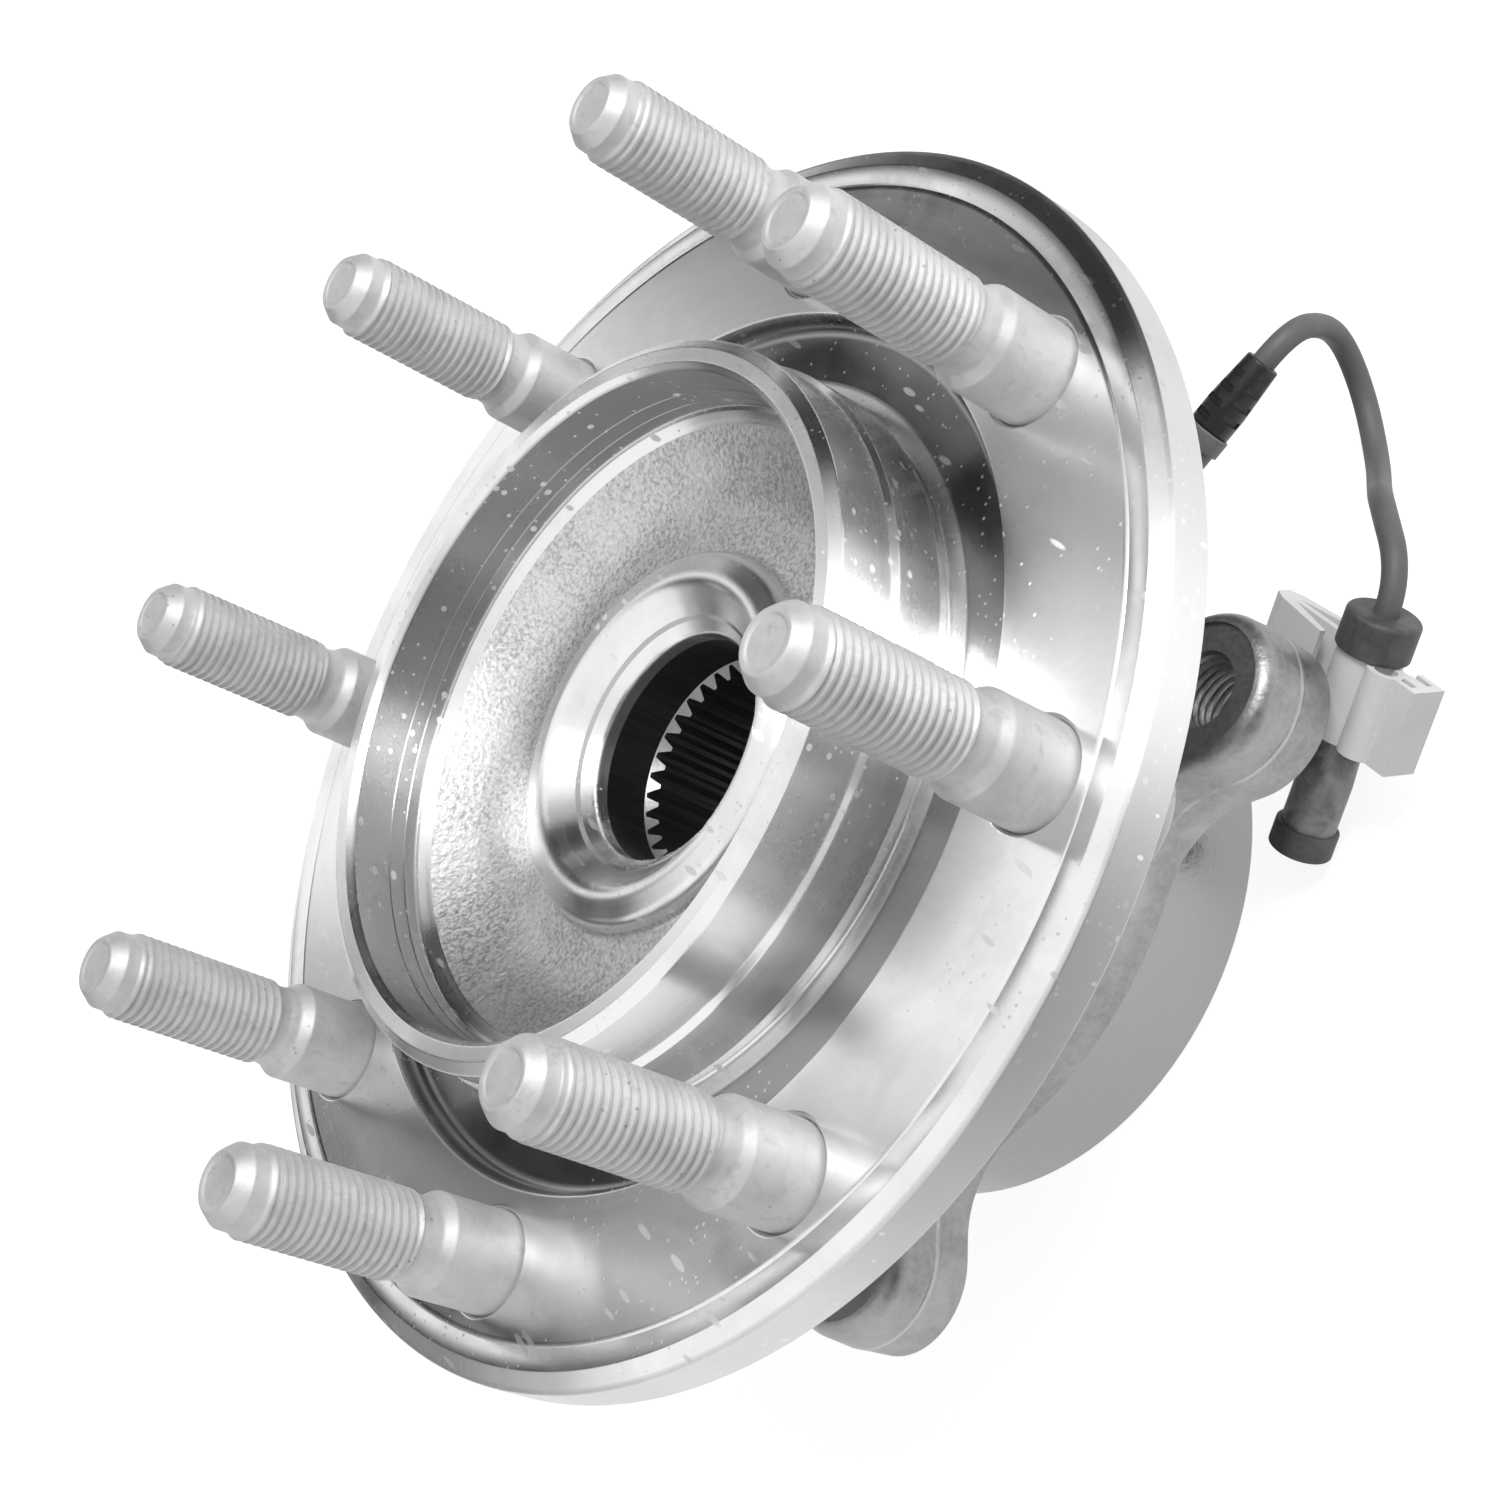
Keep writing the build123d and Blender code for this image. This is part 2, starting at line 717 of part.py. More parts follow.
def connector_plane():
    """Plane about the connector's axis: Z from its foot to its cap, X level and Y up."""
    lean = math.radians(connector_tilt)
    turn = math.radians(connector_turn)
    foot_height = housing_bottom + connector_floor_gap + collar_radius * math.cos(lean)
    axis = (math.cos(lean) * math.cos(turn), math.cos(lean) * math.sin(turn), math.sin(lean))
    level = (-math.sin(turn), math.cos(turn), 0)
    return Plane(origin=(connector_foot_x, connector_foot_y, foot_height), x_dir=level, z_dir=axis)


def connector_body():
    """Round two-way connector with an open socket at its foot."""
    top = connector_length - cap_height
    solid = turned(
        (0, 0),
        (connector_bottom_radius, 0),
        (connector_bottom_radius, connector_skirt_length),
        (connector_top_radius, top - clip_length - connector_shoulder_gap),
        (connector_top_radius, top),
        (0, top),
    )
    solid -= Pos(0, 0, socket_depth / 2) * Cylinder(socket_radius, socket_depth)
    return connector_plane() * solid


def connector_collar():
    """Rubber collar on the connector's foot."""
    solid = turned(
        (connector_bottom_radius, 0),
        (collar_radius, 0, collar_rounding),
        (collar_radius, collar_length, collar_rounding),
        (connector_bottom_radius, collar_length),
    )
    return connector_plane() * solid


def connector_cap():
    """Rubber cap that closes the connector round the lead."""
    solid = turned(
        (0, connector_length - cap_height),
        (cap_radius, connector_length - cap_height, cap_rounding / 2),
        (cap_radius, connector_length, cap_rounding),
        (0, connector_length),
    )
    return connector_plane() * solid


def connector_terminals():
    """Two contact pins in the connector's socket."""
    pin = Pos(0, 0, socket_depth - terminal_length / 2) * Cylinder(terminal_radius, terminal_length)
    plane = connector_plane()
    return [plane * Pos(side * terminal_spacing / 2, 0, 0) * pin for side in (-1, 1)]


def clip_profile():
    """Section of the clip: a ring, a wing with two barbs, a slotted hook and a hollow boss."""
    inner = connector_top_radius + clip_clearance
    outer = inner + clip_wall
    wing = Pos((inner + wing_reach) / 2, 0) * Rectangle(wing_reach - inner, wing_web)
    for side in (-1, 1):
        barb = Polyline(
            (wing_reach, 0),
            (wing_reach, side * wing_web),
            (wing_reach - 2 * wing_arm, side * (wing_web + wing_arm)),
            (wing_neck, side * wing_half_height),
            (wing_neck, side * (wing_half_height - wing_arm)),
            (wing_reach - 3 * wing_arm, side * wing_web / 2),
            (wing_reach - 3 * wing_arm, 0),
            close=True,
        )
        wing += make_face(barb)
    hook = Pos((inner + hook_reach) / 2, 0) * Rectangle(hook_reach - inner, wing_web)
    hook += Pos(hook_reach - hook_length / 2, 0) * Rectangle(hook_length, 2 * hook_half_height)
    for side in (-1, 1):
        slot = Rectangle(hook_length - wing_arm, wing_web)
        hook -= Pos(hook_reach - hook_length / 2 - wing_arm, side * hook_half_height / 2) * slot
    boss = Circle(boss_radius) - Circle(boss_radius - clip_wall)
    boss = Rot(0, 0, boss_angle) * Pos(outer + boss_radius / 3, 0) * boss
    profile = Circle(outer) + Rot(0, 0, wing_angle) * wing + Rot(0, 0, hook_angle) * hook + boss
    return profile - Circle(inner)


def mounting_clip():
    """Plastic clip that holds the connector on a bracket."""
    bottom = connector_length - cap_height - clip_length
    return connector_plane() * extrude(Plane.XY.offset(bottom) * clip_profile(), clip_length - clip_clearance)


def sensor_cable():
    """Lead from the boot to the cap: straight runs joined by tangent arcs."""
    sensor = sensor_plane()
    connector = connector_plane()
    route = [sensor.from_local_coords((0, 0, boot_end() + run)) for run in (0, lead_start_run)]
    route += [Vector(*corner) for corner in lead_corners]
    route += [connector.from_local_coords((0, 0, connector_length + run)) for run in (lead_end_run, 0)]
    radii = []
    for before, corner, after in zip(route, route[1:], route[2:]):
        run = min((corner - before).length, (after - corner).length)
        half_turn = math.radians((corner - before).get_angle(after - corner)) / 2
        radii.append(lead_bend_share * run / math.tan(half_turn))
    path = FilletPolyline(*route, radius=radii)
    section = Plane(origin=path @ 0, z_dir=path % 0) * Circle(cable_radius)
    cable = sweep(section, path=path)
    expected = math.pi * cable_radius**2 * path.length
    print("cable length", round(path.length, 1), "volume ratio", round(cable.volume / expected, 4))
    print("cable radii", [round(radius, 1) for radius in radii])
    print("cable runs", [round((b - a).length, 1) for a, b in zip(route, route[1:])])
    return cable


os.makedirs("parts", exist_ok=True)
outboard_seal_face = housing_top - seal_recess
inboard_seal_face = 2 * middle_height - (rolled_top + seal_end_gap)

save("hub_spindle", hub_spindle())
save("wheel_studs", *[location * wheel_stud() for location in stud_places()])
save("outboard_cone", bearing_cone())
save("inboard_cone", inboard_cone())
save("cone_spacer", cone_spacer())
save("tone_ring", tone_ring())
save("outboard_slinger", slinger(outboard_seal_face))
save("inboard_slinger", mirrored(slinger(inboard_seal_face)))
save("outboard_rollers", *roller_row())
save("inboard_rollers", *[mirrored(piece) for piece in roller_row()])
save("outboard_cage", cage())
save("inboard_cage", mirrored(cage()))
save("bearing_housing", bearing_housing())
save("outboard_seal_case", seal_case(outboard_seal_face))
save("outboard_seal_lip", seal_lip(outboard_seal_face))
save("inboard_seal_case", mirrored(seal_case(inboard_seal_face)))
save("inboard_seal_lip", mirrored(seal_lip(inboard_seal_face)))
save("sensor_body", sensor_body())
save("sensor_o_ring", sensor_o_ring())
save("sensor_screw", sensor_screw())
save("strain_relief_boot", strain_relief_boot())
save("sensor_cable", sensor_cable())
save("connector_body", connector_body())
save("connector_collar", connector_collar())
save("connector_cap", connector_cap())
save("connector_terminals", *connector_terminals())
save("mounting_clip", mounting_clip())
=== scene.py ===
"""Looks of the wheel hub bearing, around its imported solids. Lengths in metres, in the part's own frame."""
import math

import bpy
import numpy as np
from mathutils import Matrix, Vector


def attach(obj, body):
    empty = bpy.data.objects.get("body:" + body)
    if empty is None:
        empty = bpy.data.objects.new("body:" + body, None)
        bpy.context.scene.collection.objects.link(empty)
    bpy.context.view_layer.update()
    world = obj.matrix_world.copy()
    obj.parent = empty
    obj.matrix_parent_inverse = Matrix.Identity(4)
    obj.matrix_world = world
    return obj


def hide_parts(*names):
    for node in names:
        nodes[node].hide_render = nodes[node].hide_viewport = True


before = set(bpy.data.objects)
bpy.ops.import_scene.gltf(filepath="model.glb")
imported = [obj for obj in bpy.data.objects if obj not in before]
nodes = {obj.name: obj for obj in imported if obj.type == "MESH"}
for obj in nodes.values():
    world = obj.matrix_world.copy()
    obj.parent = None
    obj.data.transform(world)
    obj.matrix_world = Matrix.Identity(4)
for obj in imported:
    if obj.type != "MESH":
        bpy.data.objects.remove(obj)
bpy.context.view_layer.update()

# A millimetre in metres, and a metre in millimetres
MM = 0.001
METRE = 1000.0

# Sizes in millimetres
STUD_CIRCLE = 82.55
STUD_COUNT = 8
STUD_RADIUS = 7.0
STUD_COLLAR_RADIUS = 7.95
HOUSING_BOTTOM = -81.2
LOBE_TOP = -41.7
KNUCKLE_FACE = -57.7
BOLT_CIRCLE = 71.0
KNUCKLE_HOLE_RADIUS = 6.0
CABLE_RADIUS = 1.95
SPINDLE_END = -79.934
SPLINE_TEETH = 33
SPLINE_ROOT = 18.2
SPLINE_TIP = 16.7
SPLINE_START = -13.0
SPINDLE_RADIUS = 27.5
FLANGE_BACK = -12.0
RECESS_FLOOR = -3.5
EXIT_DEPTH = 6.0
LEAD_BORE = 18.4
EXIT_BORE = 19.1
SECTOR_COLUMNS = 33
HUB_COLUMNS = SECTOR_COLUMNS * STUD_COUNT
FACE_INNER = 72.6
FACE_OUTER = 92.3
RIM_INNER = 98.9
RECESS_INNER = 61.0
RECESS_OUTER = 71.0
PILOT_BORE_EDGE = 53.8
KNUCKLE_PILOT_EDGE = 51.6
KNUCKLE_PILOT_TOP = -57.9
END_FACE_INNER = 45.0
END_FACE_OUTER = 55.9
END_FACE_TOP = -80.0
PARTING_LINE = (-50.1, -49.3)
THREAD_PITCH = 1.5
THREAD_DEPTH = 0.62
THREAD_SAMPLES = 8

# Control points of the lead, from the boot to the cap
LEAD_ROUTE = [
    (96.07, -19.55, -46.42), (102.44, -20.84, -46.42), (106.59, -14.30, -57.37), (106.05, -11.87, -65.64),
    (100.63, -13.87, -73.93), (92.74, -22.45, -75.56), (88.87, -32.28, -69.10), (87.32, -42.59, -60.06),
    (79.14, -56.30, -58.01), (73.19, -55.68, -60.55),
]

# Strengths of the light on surfaces, and of the floor: its grey, its glow as seen, and its glow on surfaces
AMBIENT = 0.5
FLOOR_GREY = 0.4
FLOOR_GLOW = 0.85
FLOOR_BOUNCE = 0.15

# Cards that only mirrors see stand across Y, in metres from the axis. Their ends are slopes seen from it.
CARD_DISTANCE = 1.5
CARD_FOOT = -0.02
CARD_TOP = 1.5
FRONT_CARD_TOP = 0.95

# The cards beyond the hub: right and left end, and tone
CARDS = [(2.4, 0.035, 0.02), (0.035, -0.015, 0.25), (-0.015, -0.04, 0.9), (-0.36, -0.39, 0.55),
         (-0.39, -0.43, 0.22), (-0.43, -0.49, 0.08), (-0.49, -1.07, 0.02), (-1.07, -1.6, 0.26), (-1.6, -2.6, 0.5)]
FLOOR_CARD_HEIGHT = HOUSING_BOTTOM * MM + 0.0001
FLOOR_CARD = [(0.1, -0.14), (-0.16, -0.14), (-0.16, -0.6), (0.1, -0.6)]


# Camera, floor and light

def place_camera():
    """Camera of the photograph, from its solved centre and its back and up vectors."""
    data = bpy.data.cameras.new("photo_camera")
    data.sensor_width = 36.0
    data.lens = 68.01
    data.clip_start = 0.01
    data.clip_end = 20.0
    camera = bpy.data.objects.new("photo_camera", data)
    bpy.context.scene.collection.objects.link(camera)
    back = Vector((0.14896, -0.79202, 0.59204)).normalized()
    up = Vector((0.84510, 0.41283, 0.33965))
    up = (up - up.dot(back) * back).normalized()
    right = up.cross(back)
    turn = Matrix((right, up, back)).transposed()
    camera.matrix_world = Matrix.Translation((0.07033, -0.35037, 0.24607)) @ turn.to_4x4()
    bpy.context.scene.camera = camera


class Socket:
    """A shader value. Python operators on it add Math nodes."""

    def __init__(self, tree, link):
        self.tree = tree
        self.link = link

    def _math(self, operation, *values):
        return self.tree.node("ShaderNodeMath", {"operation": operation}, *values)

    def __add__(self, other):
        return self._math("ADD", self, other)

    def __radd__(self, other):
        return self._math("ADD", other, self)

    def __sub__(self, other):
        return self._math("SUBTRACT", self, other)

    def __mul__(self, other):
        return self._math("MULTIPLY", self, other)

    def __pow__(self, other):
        return self._math("POWER", self, other)

    def below(self, edge, soft):
        """1 under edge, falling to 0 over soft."""
        return self.tree.ramp(self, edge - soft / 2, edge + soft / 2, 1.0, 0.0)

    def above(self, edge, soft):
        """0 under edge, rising to 1 over soft."""
        return self.tree.ramp(self, edge - soft / 2, edge + soft / 2, 0.0, 1.0)

    def between(self, low, high, soft):
        """1 between low and high, with soft ends."""
        return self.above(low, soft) * self.below(high, soft)


class Finish:
    """A material's node tree, whose methods return sockets."""

    def __init__(self, name):
        self.material = bpy.data.materials.new(name)
        self.material.use_nodes = True
        self.nodes = self.material.node_tree.nodes
        self.links = self.material.node_tree.links
        self.shader = self.nodes["Principled BSDF"]
        self._place = None

    def node(self, kind, settings=None, *values, out=0, **named):
        """Adds a node with its settings set first, then its sockets from values in order or by name."""
        made = self.nodes.new(kind)
        for key, value in (settings or {}).items():
            setattr(made, key, value)
        wanted = [(made.inputs[i], v) for i, v in enumerate(values) if v is not None]
        wanted += [(made.inputs[key.replace("_", " ")], v) for key, v in named.items()]
        for socket, value in wanted:
            self.put(socket, value)
        return Socket(self, made.outputs[out])

    def put(self, socket, value):
        """Links or writes a value into a socket."""
        if isinstance(value, Socket):
            self.links.new(value.link, socket)
        else:
            socket.default_value = value

    def ramp(self, value, low, high, first, last):
        """Linear map of low..high to first..last, clamped."""
        return self.node("ShaderNodeMapRange", {"clamp": True}, value, low, high, first, last)

    def place(self):
        """Object coordinates."""
        if self._place is None:
            self._place = self.node("ShaderNodeTexCoord", None, out=3)
        return self._place

    def split(self):
        """The three parts of Object coordinates, in metres."""
        parts = self.nodes.new("ShaderNodeSeparateXYZ")
        self.links.new(self.place().link, parts.inputs[0])
        return [Socket(self, out) for out in parts.outputs]

    def polar(self):
        """Radius about Z and height in millimetres."""
        x, y, z = self.split()
        radius = (x * x + y * y) ** 0.5
        return radius * METRE, z * METRE

    def turn(self):
        """Turn about Z in radians."""
        x, y, _ = self.split()
        return self.node("ShaderNodeMath", {"operation": "ARCTAN2"}, y, x)

    def join(self, x, y, z):
        """A vector of three values."""
        return self.node("ShaderNodeCombineXYZ", None, x, y, z)

    def noise(self, scale, detail=2.0, rough=0.5, vector=None, distort=0.0):
        """Noise of about scale cells a metre."""
        return self.node("ShaderNodeTexNoise", None, Vector=vector or self.place(), Scale=scale,
                         Detail=detail, Roughness=rough, Distortion=distort)

    def cells(self, scale, vector=None, feature="F1", out=0):
        """Distance to the middle of cells, about scale of them a metre, or with out 1 a colour for each."""
        return self.node("ShaderNodeTexVoronoi", {"feature": feature}, out=out, Vector=vector or self.place(),
                         Scale=scale)

    def stretch(self, scale, turn):
        """Object coordinates scaled along and turned about each axis."""
        return self.node("ShaderNodeMapping", None, Vector=self.place(), Rotation=turn, Scale=scale)

    def mix(self, share, first, last):
        """Colour between first and last."""
        made = self.nodes.new("ShaderNodeMix")
        made.data_type = "RGBA"
        self.put(made.inputs[0], share)
        for socket, value in ((made.inputs[6], first), (made.inputs[7], last)):
            self.put(socket, value if isinstance(value, Socket) else grey(value))
        return Socket(self, made.outputs[2])

    def mix_value(self, share, first, last):
        """Number between first and last."""
        return first + share * (last - first)

    def most(self, first, second):
        """The larger of two values."""
        return self.node("ShaderNodeMath", {"operation": "MAXIMUM"}, first, second)

    def red(self, colour):
        """The red part of a colour."""
        parts = self.nodes.new("ShaderNodeSeparateColor")
        self.links.new(colour.link, parts.inputs[0])
        return Socket(self, parts.outputs[0])

    def relief(self, height, distance, strength=1.0, normal=None):
        """Bump from a height of 0 to 1 that stands for distance."""
        made = self.nodes.new("ShaderNodeBump")
        made.inputs["Strength"].default_value = strength
        made.inputs["Distance"].default_value = distance
        self.links.new(height.link, made.inputs["Height"])
        if normal is not None:
            self.links.new(normal.link, made.inputs["Normal"])
        return Socket(self, made.outputs[0])

    def end(self, **inputs):
        """Writes the shader's sockets and returns the material."""
        for key, value in inputs.items():
            self.put(self.shader.inputs[key.replace("_", " ")], value)
        return self.material


def grey(value):
    """A colour from one number."""
    return (value, value, value, 1.0)


def camera_or_mirror(tree_nodes, links):
    """1 for rays from the camera, a mirror or glass."""
    path = tree_nodes.new("ShaderNodeLightPath")
    total = path.outputs["Is Camera Ray"]
    for kind in ("Is Glossy Ray", "Is Transmission Ray"):
        either = tree_nodes.new("ShaderNodeMath")
        either.operation = "ADD"
        either.use_clamp = True
        links.new(total, either.inputs[0])
        links.new(path.outputs[kind], either.inputs[1])
        total = either.outputs[0]
    return total


def build_world():
    """Soft even light, and plain white wherever the camera or a mirror sees the background."""
    world = bpy.data.worlds.new("studio")
    world.use_nodes = True
    bpy.context.scene.world = world
    tree = world.node_tree
    background = tree.nodes["Background"]
    background.inputs["Color"].default_value = (1.0, 1.0, 1.0, 1.0)
    lit = tree.nodes.new("ShaderNodeMapRange")
    tree.links.new(camera_or_mirror(tree.nodes, tree.links), lit.inputs[0])
    lit.inputs["To Min"].default_value = AMBIENT
    lit.inputs["To Max"].default_value = 1.0
    tree.links.new(lit.outputs[0], background.inputs["Strength"])


def build_floor():
    """Pale floor under the housing: white to the camera, less the object's soft shadow."""
    finish = Finish("floor_white")
    material, links = finish.material, finish.links
    output = material.node_tree.nodes["Material Output"]
    diffuse = finish.nodes.new("ShaderNodeBsdfDiffuse")
    diffuse.inputs["Color"].default_value = grey(FLOOR_GREY)
    glow = finish.nodes.new("ShaderNodeEmission")
    glow.inputs["Strength"].default_value = FLOOR_GLOW
    dark = finish.nodes.new("ShaderNodeEmission")
    dark.inputs["Strength"].default_value = FLOOR_BOUNCE
    choose = finish.nodes.new("ShaderNodeMixShader")
    links.new(camera_or_mirror(finish.nodes, links), choose.inputs[0])
    links.new(dark.outputs[0], choose.inputs[1])
    links.new(glow.outputs[0], choose.inputs[2])
    total = finish.nodes.new("ShaderNodeAddShader")
    links.new(diffuse.outputs[0], total.inputs[0])
    links.new(choose.outputs[0], total.inputs[1])
    links.new(total.outputs[0], output.inputs["Surface"])
    finish.nodes.remove(finish.shader)
    mesh = bpy.data.meshes.new("floor")
    half, height = 3.0, HOUSING_BOTTOM * MM - 0.00005
    corners = [(-half, -half, height), (half, -half, height), (half, half, height), (-half, half, height)]
    mesh.from_pydata(corners, [], [(0, 1, 2, 3)])
    mesh.materials.append(material)
    floor = bpy.data.objects.new("floor", mesh)
    bpy.context.scene.collection.objects.link(floor)


def lamp(name, position, target, size, power):
    """A soft square lamp that looks at target."""
    data = bpy.data.lights.new(name, "AREA")
    data.size = size
    data.energy = power
    light = bpy.data.objects.new(name, data)
    bpy.context.scene.collection.objects.link(light)
    light.location = position
    light.rotation_mode = "QUATERNION"
    light.rotation_quaternion = (Vector(target) - Vector(position)).to_track_quat("-Z", "Y")


def card(name, corners, tone):
    """A card of one tone that only mirrors see. Its corners are in metres."""
    mesh = bpy.data.meshes.new(name)
    mesh.from_pydata(corners, [], [(0, 1, 2, 3)])
    finish = Finish(name)
    glow = finish.nodes.new("ShaderNodeEmission")
    glow.inputs["Color"].default_value = grey(tone)
    finish.links.new(glow.outputs[0], finish.nodes["Material Output"].inputs["Surface"])
    finish.nodes.remove(finish.shader)
    mesh.materials.append(finish.material)
    made = bpy.data.objects.new(name, mesh)
    bpy.context.scene.collection.objects.link(made)
    made.visible_camera = False
    made.visible_diffuse = False
    made.visible_shadow = False


def band_card(name, distance, across, rise, tone):
    """A card that stands across Y at a distance in metres: across and rise are slopes sideways and upwards."""
    left, right = (share * distance for share in across)
    low, high = (share * distance for share in rise)
    card(name, [(left, distance, low), (right, distance, low), (right, distance, high), (left, distance, high)], tone)


place_camera()
build_world()
build_floor()
for number, (right, left, tone) in enumerate(CARDS):
    band_card(f"card_{number}", CARD_DISTANCE, (left, right), (CARD_FOOT, CARD_TOP), tone)
band_card("card_front", -CARD_DISTANCE, (-0.66, 0.14), (CARD_FOOT, -FRONT_CARD_TOP), 0.03)
band_card("card_front_left", -CARD_DISTANCE, (0.14, 0.36), (CARD_FOOT, -FRONT_CARD_TOP), 0.25)
card("card_side", [(1.1, 0.09, -0.05), (1.1, 1.5, -0.05), (1.1, 1.5, 1.15), (1.1, 0.09, 1.15)], 0.03)
card("card_floor", [(x, y, FLOOR_CARD_HEIGHT) for x, y in FLOOR_CARD], 0.4)
lamp("key_lamp", (0.55, -0.3, 0.6), (0, 0, -0.03), 0.35, 5.0)

bpy.context.scene.view_settings.view_transform = "Standard"


# Surfaces

def rounded(corners):
    """Points of a profile of (across, along, rounding) corners.

    Each rounded corner is an arc tangent to both of its runs, with one more point close before and after it that
    keeps the runs flat in smooth shading.
    """
    points = [np.array(corners[0][:2], float)]
    for before, corner, after in zip(corners, corners[1:], corners[2:]):
        here = np.array(corner[:2], float)
        rounding = corner[2] if len(corner) > 2 else 0.0
        first, second = here - np.array(before[:2]), np.array(after[:2]) - here
        first_length, second_length = np.linalg.norm(first), np.linalg.norm(second)
        first, second = first / first_length, second / second_length
        turn = math.atan2(first[0] * second[1] - first[1] * second[0], float(first @ second))
        if rounding == 0.0 or abs(turn) < 0.01:
            points.append(here)
            continue
        reach = rounding * math.tan(abs(turn) / 2)
        side = math.copysign(1.0, turn)
        inward = side * np.array([-first[1], first[0]])
        centre = here - first * reach + inward * rounding
        spare = 0.2 if min(first_length, second_length) - reach > 0.6 else 0.0
        if spare:
            points.append(here - first * (reach + spare))
        steps = max(2, math.ceil(abs(turn) / math.radians(13)))
        for step in range(steps + 1):
            angle = turn * step / steps
            spoke = -inward * rounding
            points.append(centre + np.array([spoke[0] * math.cos(angle) - spoke[1] * math.sin(angle),
                                             spoke[0] * math.sin(angle) + spoke[1] * math.cos(angle)]))
        if spare:
            points.append(here + second * (reach + spare))
    points.append(np.array(corners[-1][:2], float))
    return np.array(points)


def around(radius, height, turns):
    """Points of a surface of revolution: radius and height for each row and column, turned to each column's angle."""
    turns = np.broadcast_to(turns, radius.shape)
    return np.stack([radius * np.cos(turns), radius * np.sin(turns), height], axis=-1)


def grid_faces(rows, columns, closed, flip=False):
    """Four-cornered faces of a grid of rows by columns, whose last column joins the first where it is closed."""
    row = np.arange(rows - 1)[:, None]
    column = np.arange(columns if closed else columns - 1)[None, :]
    following = (column + 1) % columns
    faces = np.stack([row * columns + column, row * columns + following, (row + 1) * columns + following,
                      (row + 1) * columns + column], axis=-1).reshape(-1, 4)
    return faces[:, ::-1] if flip else faces


class Skin:
    """Collects grids of points in millimetres and makes one welded piece of them."""

    def __init__(self):
        self.points, self.faces, self.slots = [], [], []
        self.count = 0

    def add(self, points, faces, slot=0):
        points = points.reshape(-1, 3)
        self.points.append(points)
        self.faces.append(faces + self.count)
        self.slots.append(np.full(len(faces), slot))
        self.count += len(points)

    def make(self, name, materials, crease=38.0):
        """Welds equal points, drops faces without area and gives the finished object."""
        points = np.concatenate(self.points)
        faces = np.concatenate(self.faces)
        slots = np.concatenate(self.slots)
        _, first, welded = np.unique(np.round(points, 4), axis=0, return_index=True, return_inverse=True)
        faces = welded.reshape(-1)[faces]
        kept_faces, kept_slots = [], []
        for face, slot in zip(faces.tolist(), slots.tolist()):
            corners = list(dict.fromkeys(face))
            if len(corners) > 2:
                kept_faces.append(corners)
                kept_slots.append(slot)
        mesh = bpy.data.meshes.new(name)
        mesh.from_pydata((points[first] * MM).tolist(), [], kept_faces)
        for material in materials:
            mesh.materials.append(material)
        mesh.polygons.foreach_set("material_index", kept_slots)
        mesh.polygons.foreach_set("use_smooth", [True] * len(kept_faces))
        mesh.set_sharp_from_angle(angle=math.radians(crease))
        mesh.update()
        made = bpy.data.objects.new(name, mesh)
        bpy.context.scene.collection.objects.link(made)
        return made


def revolved(skin, corners, turns, slot=0, flip=False):
    """Adds a surface of revolution about Z with the given profile and a column at each of the turns."""
    profile = rounded(corners)
    columns = len(turns)
    radius = np.repeat(profile[:, :1], columns, axis=1)
    height = np.repeat(profile[:, 1:], columns, axis=1)
    skin.add(around(radius, height, turns[None, :]), grid_faces(len(profile), columns, True, flip), slot)


# Hub

def spline_columns():
    """Angles of the hub's columns and the bore's radius at each of them.

    A column stands at every corner of a spline space: two at its root, two at the teeth's tips beside it, and one
    in the middle of the root, of the tooth and of each flank.
    """
    pitch_line = SPLINE_ROOT - (SPLINE_ROOT - SPLINE_TIP) / 2
    half_space = math.pi * pitch_line / SPLINE_TEETH / 2
    slope = math.tan(math.radians(30.0))
    root = (half_space - (SPLINE_ROOT - pitch_line) * slope) / SPLINE_ROOT
    tip = (half_space + (pitch_line - SPLINE_TIP) * slope) / SPLINE_TIP
    pitch = 2 * math.pi / SPLINE_TEETH
    middle = (root + tip) / 2
    turns = [0.0, root, middle, tip, pitch / 2, pitch - tip, pitch - middle, pitch - root]
    flank = (SPLINE_ROOT + SPLINE_TIP) / 2
    radii = [SPLINE_ROOT, SPLINE_ROOT, flank, SPLINE_TIP, SPLINE_TIP, SPLINE_TIP, flank, SPLINE_ROOT]
    teeth = np.arange(SPLINE_TEETH)[:, None] * pitch
    return (teeth + np.array(turns)).reshape(-1), np.tile(radii, SPLINE_TEETH)


